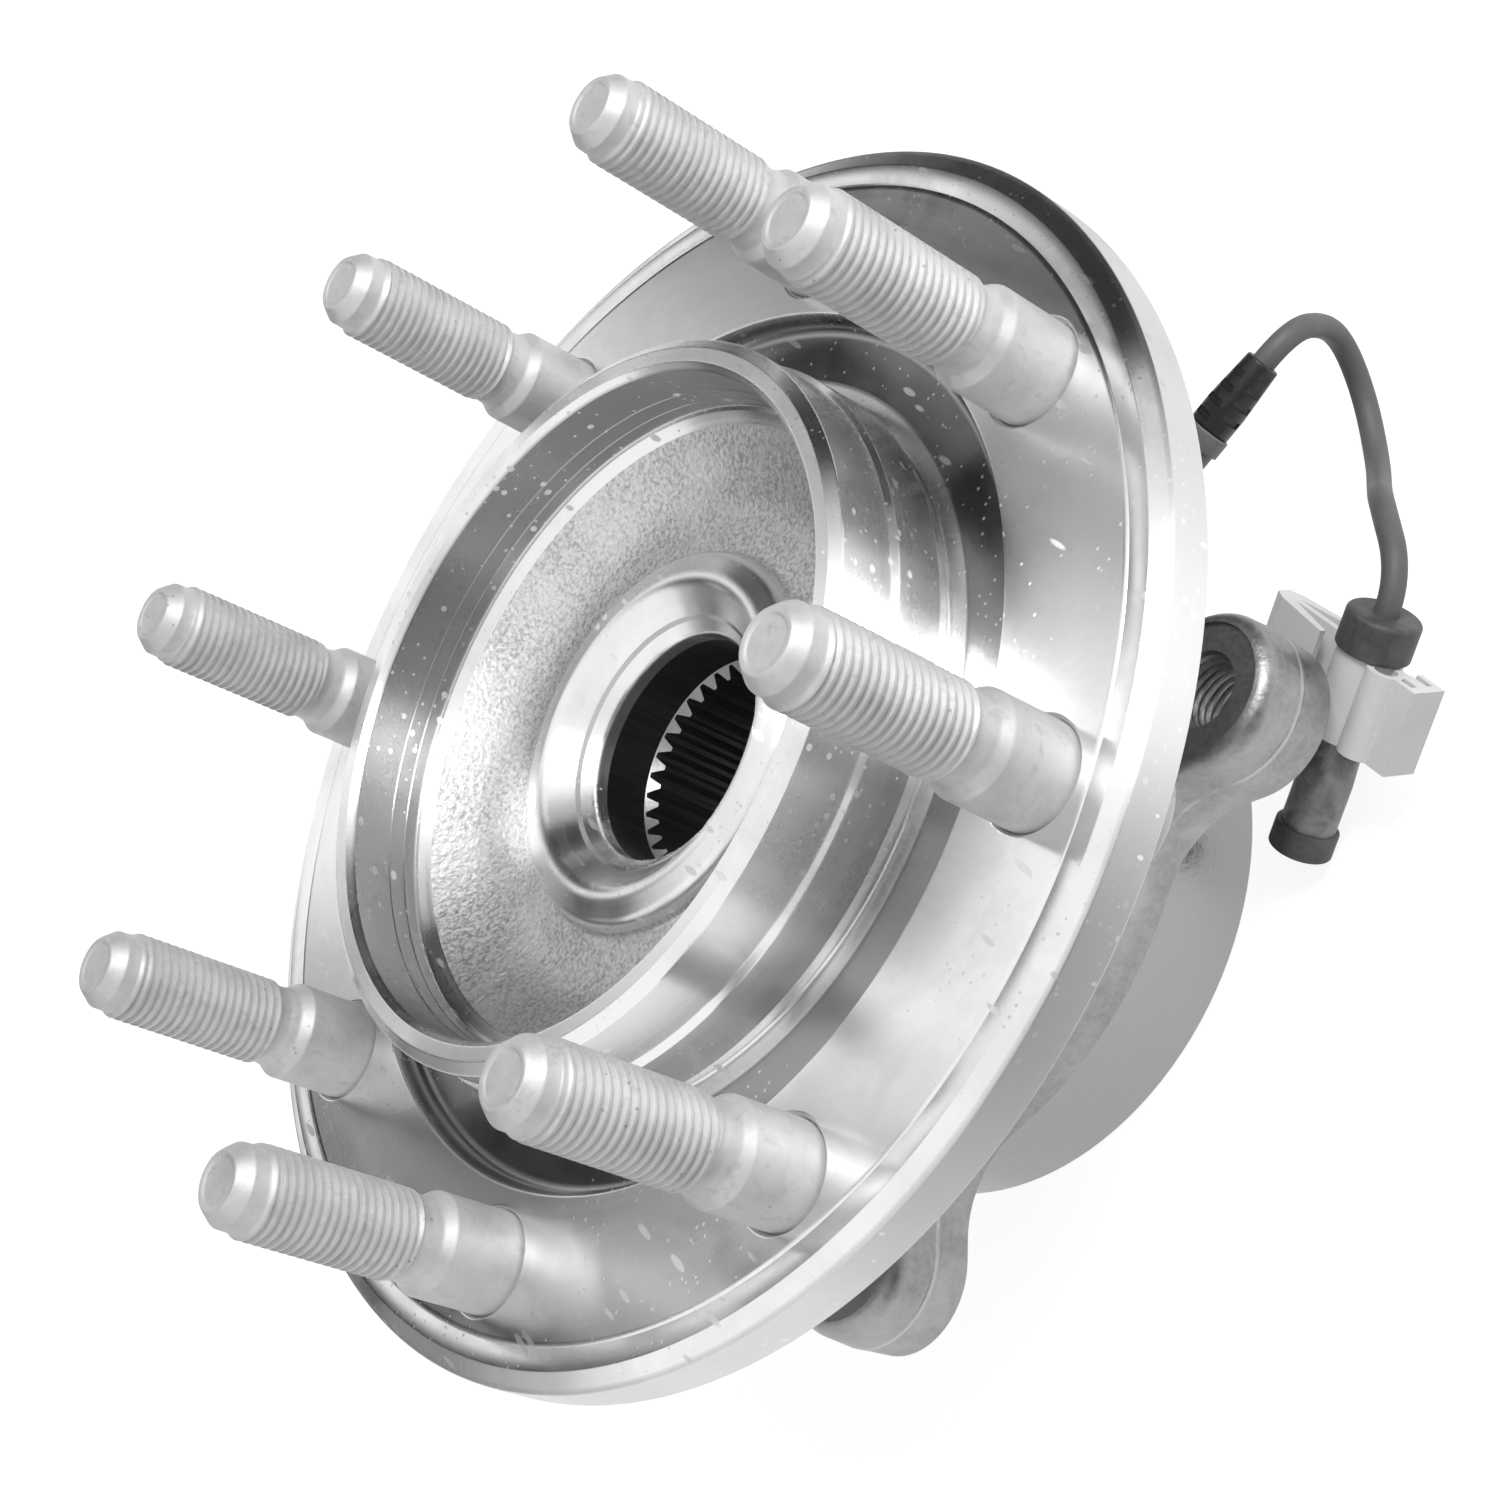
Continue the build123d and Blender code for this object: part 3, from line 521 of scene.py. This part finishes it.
def build_hub(materials):
    """The hub: one skin of revolution whose bore is splined, with a stud hole in each eighth of the wheel face.

    Rows run from the wheel face over the rim, down the back, through the bore and out over the nose, the dished
    plate and the pilot ring to the wheel face again. In the bore the radius of a column is the spline's, and the
    teeth's ends lie on a cone. In the face, rings run from each hole to the edge of its eighth.
    """
    turned_slot, cast_slot, bore_slot, back_slot = range(4)
    turns, spline = spline_columns()
    skin = Skin()

    def lathe(corners, slot):
        revolved(skin, corners, turns, slot, True)

    lathe([(FACE_OUTER, 0.0), (92.95, 0.0), (93.2, -0.16), (93.45, 0.0), (96.6, 0.0, 0.25), (99.7, -1.5, 0.35),
           (99.7, -8.3, 0.4), (99.5, -8.5)], turned_slot)
    lathe([(99.5, -8.5), (96.0, FLANGE_BACK, 0.6), (71.0, FLANGE_BACK), (66.0, FLANGE_BACK),
           (36.713, FLANGE_BACK, 2.5), (36.713, -20.5), (SPINDLE_RADIUS, -20.5), (SPINDLE_RADIUS, -76.7),
           (33.0, -76.734, 1.0), (32.2, SPINDLE_END, 1.0), (EXIT_BORE, SPINDLE_END)], back_slot)
    cone_slope = (LEAD_BORE - SPLINE_TIP) / (LEAD_BORE - SPLINE_TIP - 0.2)
    tooth_end = SPLINE_START - (LEAD_BORE - spline) / cone_slope
    share = np.array([0.0, 0.3, 0.7, 1.0])[:, None]
    cone_height = tooth_end + (SPLINE_START - tooth_end) * share
    cone_radius = LEAD_BORE - (SPLINE_START - cone_height) * cone_slope
    flat = np.ones(HUB_COLUMNS)
    exit_end = SPINDLE_END + EXIT_DEPTH
    low = [exit_end * flat, -50.0 * flat, -30.0 * flat]
    radius = np.vstack([[EXIT_BORE * flat] * 2, [spline] * 3, cone_radius])
    height = np.vstack([[SPINDLE_END * flat, exit_end * flat], low, cone_height])
    skin.add(around(radius, height, turns[None, :]), grid_faces(len(radius), HUB_COLUMNS, True, True), bore_slot)
    lathe([(LEAD_BORE, SPLINE_START), (LEAD_BORE, -7.0), (LEAD_BORE, -5.2)], bore_slot)
    lathe([(LEAD_BORE, -5.2), (LEAD_BORE, -2.8, 1.2), (25.5, 3.0, 3.0), (30.5, 1.7, 2.0), (30.95, -0.2)],
          turned_slot)
    lathe([(30.95, -0.2), (31.1, -1.2, 0.8), (40.35, -1.2, 14.0), (50.3, 5.1)], cast_slot)
    lathe([(50.3, 5.1), (50.95, 5.7, 0.5), (51.95, 6.5, 0.3), (52.6, 6.6, 0.2), (52.85, 8.6, 0.15),
           (53.0, 8.75, 0.1), (53.05, 11.3, 0.1), (53.2, 11.45, 0.1), (53.15, 18.2, 0.25), (54.2, 19.4, 0.2),
           (56.55, 19.4, 0.2), (58.35, 18.2, 0.3), (58.35, 8.9, 0.25), (59.2, 8.05, 0.3), (59.25, 0.0, 0.25),
           (57.55, -0.8, 0.2), (57.55, RECESS_FLOOR, 0.8), (61.85, RECESS_FLOOR), (70.3, RECESS_FLOOR, 2.2),
           (71.15, 0.0, 0.3), (FACE_INNER, 0.0)], turned_slot)
    hole_rings(skin, turns, turned_slot)
    return skin.make("hub", materials)


def hole_rings(skin, turns, slot):
    """The wheel face between its inner and outer circle, an eighth at a time, around a sunk hole for each stud."""
    side_steps = 9
    turns = np.append(turns, turns[0] + 2 * math.pi)
    side = np.linspace(FACE_OUTER, FACE_INNER, side_steps + 1)[1:-1]
    for eighth in range(STUD_COUNT):
        arc = turns[eighth * SECTOR_COLUMNS:(eighth + 1) * SECTOR_COLUMNS + 1]
        angles = np.concatenate([arc, np.full(len(side), arc[-1]), arc[::-1], np.full(len(side), arc[0])])
        radii = np.concatenate([np.full(len(arc), FACE_OUTER), side, np.full(len(arc), FACE_INNER), side[::-1]])
        edge = np.stack([radii * np.cos(angles), radii * np.sin(angles)], axis=-1)
        middle = math.radians(360 / STUD_COUNT) * (eighth + 0.5)
        centre = STUD_CIRCLE * np.array([math.cos(middle), math.sin(middle)])
        spoke = edge - centre
        spoke /= np.linalg.norm(spoke, axis=1)[:, None]
        rings = [(8.0, -3.0), (8.0, -0.75), (8.08, -0.6), (8.5, -0.06), (8.6, 0.0)]
        levels = [np.column_stack([centre + spoke * ring, np.full(len(edge), height)]) for ring, height in rings]
        levels.insert(0, np.tile([*centre, -3.0], (len(edge), 1)))
        start = centre + spoke * 8.8
        for share in (0.0, 0.12, 0.35, 0.65, 1.0):
            levels.append(np.column_stack([start + (edge - start) * share, np.zeros(len(edge))]))
        skin.add(np.stack(levels), grid_faces(len(levels), len(edge), True, True), slot)


# Wheel studs

def threaded(base, top, columns, outer, amount):
    """A screw thread as a grid that climbs one pitch a turn.

    A point's height is its row's height plus the turn's share of a pitch, held between base and top. Its radius is
    the outer radius there, less the depth times a clipped cosine of its place in the pitch, which fades at both
    ends. The last column joins the first one a pitch further down, so the seam is closed.
    """
    rows = int(round((top - base) / THREAD_PITCH)) * THREAD_SAMPLES + THREAD_SAMPLES + 1
    row = np.arange(rows)[:, None]
    share = np.arange(columns + 1)[None, :] / columns
    height = np.clip(base - THREAD_PITCH + THREAD_PITCH * (row / THREAD_SAMPLES + share), base, top)
    groove = np.clip(0.5 - 0.8 * np.cos(2 * math.pi * row / THREAD_SAMPLES), 0.0, 1.0)
    radius = np.interp(height, *zip(*outer)) - THREAD_DEPTH * np.interp(height, *zip(*amount)) * groove
    return around(radius, height, 2 * math.pi * share)


def build_studs(materials):
    """Eight wheel studs, each with head, neck hidden in the flange, collar, rolled thread and blunt tip."""
    columns = 44
    turns = np.arange(columns) * 2 * math.pi / columns
    base, top = 16.4, 43.4
    outer = [(base, 6.45), (base + 0.7, STUD_RADIUS), (top - 1.0, STUD_RADIUS), (top, 6.35)]
    amount = [(base, 0.0), (base + 1.6, 1.0), (top - 1.8, 1.0), (top, 0.0)]
    thread = threaded(base, top, columns, outer, amount)
    one = Skin()
    revolved(one, [(0.0, -17.0), (10.5, -17.0, 1.0), (10.5, FLANGE_BACK, 0.3), (STUD_COLLAR_RADIUS, FLANGE_BACK),
                   (STUD_COLLAR_RADIUS, 11.6, 0.7), (6.75, 13.4, 1.2), (6.45, 15.2, 0.8), (6.45, base)], turns)
    one.add(thread, grid_faces(thread.shape[0], thread.shape[1], False))
    revolved(one, [(6.35, top), (6.3, 45.6, 0.5), (5.1, 47.2, 0.7), (4.6, 47.8, 0.4), (3.9, 47.7, 0.3),
                   (3.5, 47.45, 0.3), (0.0, 47.4)], turns)
    points, faces = np.concatenate([part.reshape(-1, 3) for part in one.points]), np.concatenate(one.faces)
    studs = Skin()
    for number in range(STUD_COUNT):
        place = math.radians(360 / STUD_COUNT) * (number + 0.5)
        spin = 2.4 * number
        x = points[:, 0] * math.cos(spin) - points[:, 1] * math.sin(spin) + STUD_CIRCLE * math.cos(place)
        y = points[:, 0] * math.sin(spin) + points[:, 1] * math.cos(spin) + STUD_CIRCLE * math.sin(place)
        studs.add(np.stack([x, y, points[:, 2]], axis=-1), faces)
    return studs.make("studs", materials, crease=50.0)


# Housing

def build_knuckle_threads(materials):
    """The thread in each of the four tapped holes, as a ridge that stands on the hole's wall."""
    columns = 48
    base, top = KNUCKLE_FACE + 0.5, LOBE_TOP - 2.0
    wall = KNUCKLE_HOLE_RADIUS - 0.02
    outer = [(base, wall), (top, wall)]
    amount = [(base, 0.0), (base + 1.0, 1.0), (top - 1.0, 1.0), (top, 0.0)]
    thread = threaded(base, top, columns, outer, amount)
    faces = grid_faces(thread.shape[0], thread.shape[1], False, True)
    threads = Skin()
    for number in range(4):
        place = math.radians(90 * number + 45)
        shift = BOLT_CIRCLE * np.array([math.cos(place), math.sin(place), 0.0])
        threads.add(thread + shift, faces)
    return threads.make("knuckle_threads", materials, crease=50.0)


def build_lead(material):
    """The lead: a round tube along one smooth open spline of order 3."""
    curve = bpy.data.curves.new("lead", "CURVE")
    curve.dimensions = "3D"
    curve.bevel_depth = CABLE_RADIUS * MM
    curve.bevel_resolution = 8
    curve.use_fill_caps = True
    spline = curve.splines.new("NURBS")
    spline.points.add(len(LEAD_ROUTE) - 1)
    for point, place in zip(spline.points, LEAD_ROUTE):
        point.co = (*(value * MM for value in place), 1.0)
    spline.order_u = 3
    spline.use_endpoint_u = True
    spline.resolution_u = 16
    curve.materials.append(material)
    made = bpy.data.objects.new("lead", curve)
    bpy.context.scene.collection.objects.link(made)
    return made


# Finishes

def flecks(finish, cells_per_metre, size, share, stretch, turn):
    """1 on sparse short marks: cells of a stretched and turned grid, a share of which hold a spot."""
    where = finish.stretch(stretch, turn)
    distance = finish.cells(cells_per_metre, where)
    pick = finish.red(finish.cells(cells_per_metre, where, out=1))
    return distance.below(size, size * 0.3) * pick.below(share, 0.02)


def marks(finish, share):
    """Short white nicks in two directions and round dust, thicker in some patches."""
    patch = finish.noise(22.0, 2.0).above(0.5, 0.18)
    first = flecks(finish, 300.0, 0.16, share, (1.0, 0.28, 1.0), (0.0, 0.0, 0.5))
    second = flecks(finish, 260.0, 0.12, share, (1.0, 0.2, 1.0), (0.0, 0.0, -0.9))
    dust = flecks(finish, 620.0, 0.16, share * 1.3, (1.0, 1.0, 1.0), (0.0, 0.0, 0.0))
    return finish.most(finish.most(first, second) * patch, dust * patch * 0.8)


def turned_steel():
    """Turned steel: fine rings about the axis, stains, nicks and a dull rim, with painted shade on the pilot ring's
    inner wall and in the recess.
    """
    finish = Finish("turned_steel")
    radius, height = finish.polar()
    drift = finish.noise(9.0, 1.0) * 3.0
    rings = finish.noise(1.0, 3.0, 0.65, vector=finish.join(radius * 1.3, height * 1.3, drift))
    broad = finish.noise(1.0, 2.0, 0.5, vector=finish.join(radius * 0.22, height * 0.3, drift * 0.3))
    cloud = finish.noise(34.0, 5.0, 0.68, distort=0.6)
    stain = cloud.above(0.52, 0.16)
    nick = marks(finish, 0.45)
    rim = radius.above(RIM_INNER, 0.3) * height.below(-1.2, 0.4)
    chips = flecks(finish, 430.0, 0.15, 0.25, (1.0, 1.0, 0.6), (0.0, 0.0, 0.4)) * rim
    colour = finish.mix(stain * 0.3, 0.92, 0.7)
    colour = finish.mix(rim * 0.85, colour, 0.66)
    # Painted shade: the inner wall of the pilot ring is darkened in the colour
    pilot_wall_painted_shade = radius.below(PILOT_BORE_EDGE, 0.3) * height.between(6.8, 18.4, 0.5)
    colour = finish.mix(pilot_wall_painted_shade * 0.8, colour, 0.26)
    # Painted shade: the floor of the recess is darkened in the colour
    recess_painted_shade = radius.between(RECESS_INNER, RECESS_OUTER, 0.5) * height.below(-0.8, 0.6)
    colour = finish.mix(recess_painted_shade * 0.75, colour, 0.16)
    colour = finish.mix(finish.most(nick, chips), colour, 0.93)
    wall = finish.most(height.above(0.6, 0.4), height.below(-0.5, 0.3) * radius.below(RECESS_INNER, 0.5))
    rough = 0.15 + rings * 0.06 + broad * 0.05 + stain * 0.05 + wall * 0.03
    rough = rough + rim * 0.14 + finish.most(nick, chips) * 0.4
    # The recess's floor falls away slightly outwards
    fall = finish.ramp(radius, 61.5, 70.2, 1.0, 0.0) * height.below(-1.0, 0.5)
    normal = finish.relief(rings, 0.000014, 0.4, finish.relief(fall, 0.0011))
    normal = finish.relief(finish.noise(160.0, 4.0, 0.6), 0.00012, 0.12, normal)
    finish.put(finish.shader.inputs["Anisotropic"], 0.9)
    finish.put(finish.shader.inputs["Anisotropic Rotation"], 0.25)
    return finish.end(Base_Color=colour, Roughness=rough, Metallic=1.0, Normal=normal)


def cast_plate():
    """Forged and blasted skin of the dished plate: an even grain with a few worn spots."""
    finish = Finish("cast_plate")
    grain = finish.noise(1500.0, 3.0, 0.7)
    pits = finish.cells(900.0)
    cloud = finish.noise(60.0, 4.0, 0.6)
    colour = finish.mix(grain.above(0.46, 0.2), 0.4, 0.72)
    colour = finish.mix(cloud.above(0.55, 0.15) * 0.5, colour, 0.8)
    height = grain * 0.6 + pits * 0.4
    normal = finish.relief(height, 0.00025, 0.7, finish.relief(cloud, 0.0006, 0.4))
    return finish.end(Base_Color=colour, Roughness=0.36 + grain * 0.16, Metallic=1.0, Normal=normal)


def bore_steel():
    """Broached bore: marks along the axis, over a dark base colour that is painted shade inside the bore."""
    finish = Finish("bore_steel")
    x, y, z = finish.split()
    streaks = finish.noise(1.0, 3.0, 0.6, vector=finish.join(x * 2600.0, y * 2600.0, z * 40.0))
    return finish.end(Base_Color=finish.mix(streaks, 0.16, 0.36), Roughness=0.24 + streaks * 0.16, Metallic=1.0,
                      Normal=finish.relief(streaks, 0.00003, 0.5))


def flange_back_steel():
    """Back of the flange and the spindle: coarse turning lines over a grey skin."""
    finish = Finish("flange_back")
    radius, height = finish.polar()
    rings = finish.noise(1.0, 3.0, 0.6, vector=finish.join(radius * 1.1, height * 1.1, finish.noise(8.0, 1.0) * 2.0))
    cloud = finish.noise(40.0, 4.0, 0.6)
    return finish.end(Base_Color=finish.mix(cloud, 0.34, 0.5), Roughness=0.3 + rings * 0.2, Metallic=1.0,
                      Normal=finish.relief(rings, 0.00004, 0.5))


def plated_steel():
    """Matte zinc on the studs and screw: pale, cloudy, with dark stains and small pits."""
    finish = Finish("plated_steel")
    cloud = finish.noise(130.0, 4.0, 0.65)
    stain = finish.noise(260.0, 4.0, 0.7, distort=0.5).above(0.62, 0.12)
    pits = finish.cells(420.0).below(0.1, 0.05) * finish.noise(90.0, 2.0).above(0.58, 0.1)
    grain = finish.noise(1800.0, 2.0, 0.6)
    colour = finish.mix(cloud.above(0.4, 0.3), 0.52, 0.66)
    colour = finish.mix(stain * 0.35, colour, 0.36)
    colour = finish.mix(pits * 0.6, colour, 0.2)
    return finish.end(Base_Color=colour, Roughness=0.5 + cloud * 0.12, Metallic=0.5,
                      Normal=finish.relief(grain + cloud, 0.00005, 0.35))


def forged_steel():
    """Shot-blasted forging with smoother machined bands on the pilot and a rubbed parting line on the lobes."""
    finish = Finish("forged_steel")
    radius, height = finish.polar()
    grain = finish.noise(900.0, 3.0, 0.65)
    dents = finish.cells(260.0, feature="SMOOTH_F1")
    cloud = finish.noise(45.0, 4.0, 0.6)
    pilot = radius.below(KNUCKLE_PILOT_EDGE, 0.2) * height.below(KNUCKLE_PILOT_TOP, 0.3)
    end_face = radius.between(END_FACE_INNER, END_FACE_OUTER, 0.2) * height.below(END_FACE_TOP, 0.3)
    machined = finish.most(pilot, end_face)
    rings = finish.noise(1.0, 3.0, 0.6, vector=finish.join(radius * 1.1, height * 0.9, cloud * 1.5))
    parting = height.between(*PARTING_LINE, 0.3) * finish.noise(110.0, 2.0).above(0.4, 0.2)
    colour = finish.mix(grain, 0.2, 0.42)
    colour = finish.mix(cloud.above(0.52, 0.16) * 0.55, colour, 0.5)
    colour = finish.mix(parting * 0.5, colour, 0.62)
    colour = finish.mix(machined, colour, 0.36)
    rough = finish.mix_value(machined, 0.36 + grain * 0.14, 0.2 + rings * 0.12)
    blasted = finish.relief(grain * 0.55 + dents * 0.45, 0.0003, 0.55)
    normal = finish.relief(cloud + parting * 0.3, 0.0005, 0.5, blasted)
    return finish.end(Base_Color=colour, Roughness=rough, Metallic=0.95, Normal=normal)


def moulded(name, dark, pale, rough, cloud_scale=90.0, cloud_share=0.6):
    """Moulded plastic or rubber: fine grain, cloudy tone and dusty patches."""
    finish = Finish(name)
    cloud = finish.noise(cloud_scale, 4.0, 0.65, distort=0.4)
    grain = finish.noise(1600.0, 2.0, 0.6)
    colour = finish.mix(cloud.above(0.5, 0.22) * cloud_share, dark, pale)
    return finish.end(Base_Color=colour, Roughness=rough + grain * 0.12,
                      Normal=finish.relief(grain + cloud, 0.0001, 0.35))


def smooth_steel(name, dark, pale, rough):
    """Ground or pressed steel inside the bearing: rings about the axis."""
    finish = Finish(name)
    radius, height = finish.polar()
    rings = finish.noise(1.0, 2.0, 0.6, vector=finish.join(radius * 2.0, height * 2.0, finish.turn() * 0.5))
    return finish.end(Base_Color=finish.mix(rings, dark, pale), Roughness=rough + rings * 0.1, Metallic=1.0)


turned = turned_steel()
cast = cast_plate()
bore = bore_steel()
back = flange_back_steel()
forged = forged_steel()
plated = plated_steel()
ground = smooth_steel("bearing_steel", 0.55, 0.7, 0.16)
sheet = smooth_steel("sheet_steel", 0.4, 0.55, 0.3)
boot_rubber = moulded("boot_rubber", 0.012, 0.03, 0.32)
stem_plastic = moulded("sensor_plastic", 0.14, 0.24, 0.4)
cable_rubber = moulded("cable_rubber", 0.11, 0.15, 0.5, 60.0, 0.5)
cap_rubber = moulded("cap_rubber", 0.06, 0.13, 0.5, 200.0, 0.6)
body_plastic = moulded("connector_plastic", 0.1, 0.34, 0.34, 150.0, 0.8)
clip_grey = moulded("clip_grey", 0.72, 0.8, 0.42, 60.0, 0.5)
dark_rubber = moulded("seal_rubber", 0.02, 0.05, 0.45)
contact = smooth_steel("terminal_tin", 0.5, 0.65, 0.25)

lead = build_lead(cable_rubber)
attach(lead, "housing")
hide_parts("sensor_cable")

hub = build_hub([turned, cast, bore, back])
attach(hub, "hub")
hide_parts("hub_spindle")

studs = build_studs([plated])
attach(studs, "hub")
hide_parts("wheel_studs")

threads = build_knuckle_threads([forged])
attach(threads, "housing")

FINISHES = {
    "bearing_housing": forged, "mounting_clip": clip_grey, "connector_cap": cap_rubber, "hub_spindle": turned,
    "connector_body": body_plastic, "connector_collar": cap_rubber, "connector_terminals": contact,
    "sensor_body": stem_plastic, "sensor_screw": plated, "wheel_studs": plated, "strain_relief_boot": boot_rubber,
    "sensor_cable": cable_rubber, "outboard_cone": ground, "inboard_cone": ground, "outboard_rollers": ground,
    "inboard_rollers": ground, "cone_spacer": back, "tone_ring": back, "outboard_seal_lip": dark_rubber,
    "inboard_seal_lip": dark_rubber, "sensor_o_ring": dark_rubber,
}
for name, node in nodes.items():
    node.data.materials.clear()
    node.data.materials.append(FINISHES.get(name, sheet))
